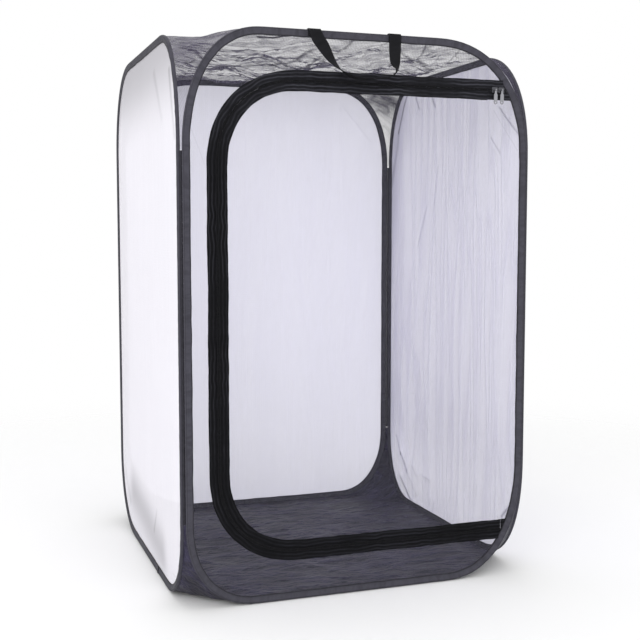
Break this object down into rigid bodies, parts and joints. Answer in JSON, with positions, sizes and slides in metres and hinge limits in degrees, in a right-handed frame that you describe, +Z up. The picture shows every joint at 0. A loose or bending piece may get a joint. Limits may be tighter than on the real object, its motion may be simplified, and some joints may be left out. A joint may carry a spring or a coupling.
{
  "type": "collapsible butterfly cage",
  "caption": "Tall collapsible mesh cage on sprung hoops, with a zipped D-shaped front door, webbing carry loop and cloth floor.",
  "frame": {"origin": "middle of the floor cloth's underside", "axes": "+Z up, +X to the right and -Y out through the front, as seen facing the door"},
  "size_m": [0.61, 0.6392, 0.9157],
  "materials": {
    "spring_steel": "satin",
    "binding_tape": "matte",
    "wall_mesh": "matte",
    "top_mesh": "matte",
    "floor_cloth": "satin",
    "zip_tape": "matte",
    "zip_coil": "satin",
    "slider_metal": "polished",
    "webbing": "matte"
  },
  "bodies": {
    "back_wall": {"back_hoop": "spring_steel", "back_hoop_sleeve": "spring_steel", "back_binding": "binding_tape", "back_mesh": "wall_mesh", "top_mesh": "top_mesh", "floor_cloth": "floor_cloth", "back_left_seam": "binding_tape", "back_right_seam": "binding_tape"},
    "left_wall": {"left_hoop": "spring_steel", "left_hoop_sleeve": "spring_steel", "left_binding": "binding_tape", "left_mesh": "wall_mesh", "front_left_seam": "binding_tape"},
    "right_wall": {"right_hoop": "spring_steel", "right_hoop_sleeve": "spring_steel", "right_binding": "binding_tape", "right_mesh": "wall_mesh", "front_right_seam": "binding_tape"},
    "front_wall": {"front_hoop": "spring_steel", "front_hoop_sleeve": "spring_steel", "front_binding": "binding_tape", "front_mesh": "wall_mesh", "frame_zip_tape": "zip_tape", "frame_zip_coil": "zip_coil", "closed_end_zip_tape": "zip_tape", "closed_end_zip_coil": "zip_coil", "carry_loop_end_left": "webbing", "carry_loop_end_right": "webbing"},
    "door": {"door_mesh": "wall_mesh", "door_zip_tape": "zip_tape", "door_zip_coil": "zip_coil"},
    "loop": {"carry_loop": "webbing"},
    "left_slider": {"slider_left": "slider_metal"},
    "right_slider": {"slider_right": "slider_metal"},
    "left_pull": {"pull_left": "slider_metal"},
    "right_pull": {"pull_right": "slider_metal"}
  },
  "joints": [
    {"name": "left_wall_fold", "type": "hinge", "parent": "back_wall", "child": "left_wall", "pos_m": [-0.299, 0.299, 0], "axis": [0, 0, 1], "range_deg": [-88, 88], "deforming": ["top_mesh", "floor_cloth"]},
    {"name": "front_wall_fold", "type": "hinge", "parent": "left_wall", "child": "front_wall", "pos_m": [-0.299, -0.299, 0], "axis": [0, 0, 1], "range_deg": [-88, 88]},
    {"name": "right_wall_fold", "type": "hinge", "parent": "back_wall", "child": "right_wall", "pos_m": [0.299, 0.299, 0], "axis": [0, 0, 1], "range_deg": [-88, 88]},
    {"name": "door_swing", "type": "hinge", "parent": "front_wall", "child": "door", "pos_m": [0.258, -0.3024, 0], "axis": [0, 0, 1], "range_deg": [0, 150]},
    {"name": "carry_loop_swing", "type": "hinge", "parent": "front_wall", "child": "loop", "pos_m": [-0.017, -0.3077, 0.9133], "axis": [-1, 0, 0], "range_deg": [0, 180]},
    {"name": "left_slider_slide", "type": "slide", "parent": "front_wall", "child": "left_slider", "axis": [1, 0, 0], "range_m": [-0.33, 0]},
    {"name": "right_slider_slide", "type": "slide", "parent": "front_wall", "child": "right_slider", "axis": [1, 0, 0], "range_m": [0, 0.003]},
    {"name": "left_pull_swing", "type": "hinge", "parent": "left_slider", "child": "left_pull", "pos_m": [0.2345, -0.30855, 0.834], "axis": [-1, 0, 0], "range_deg": [0, 170]},
    {"name": "right_pull_swing", "type": "hinge", "parent": "right_slider", "child": "right_pull", "pos_m": [0.2465, -0.30855, 0.834], "axis": [-1, 0, 0], "range_deg": [0, 170]}
  ],
  "couplings": [
    {"joint": "front_wall_fold", "follows": "left_wall_fold", "ratio": -1},
    {"joint": "right_wall_fold", "follows": "left_wall_fold", "ratio": 1}
  ]
}
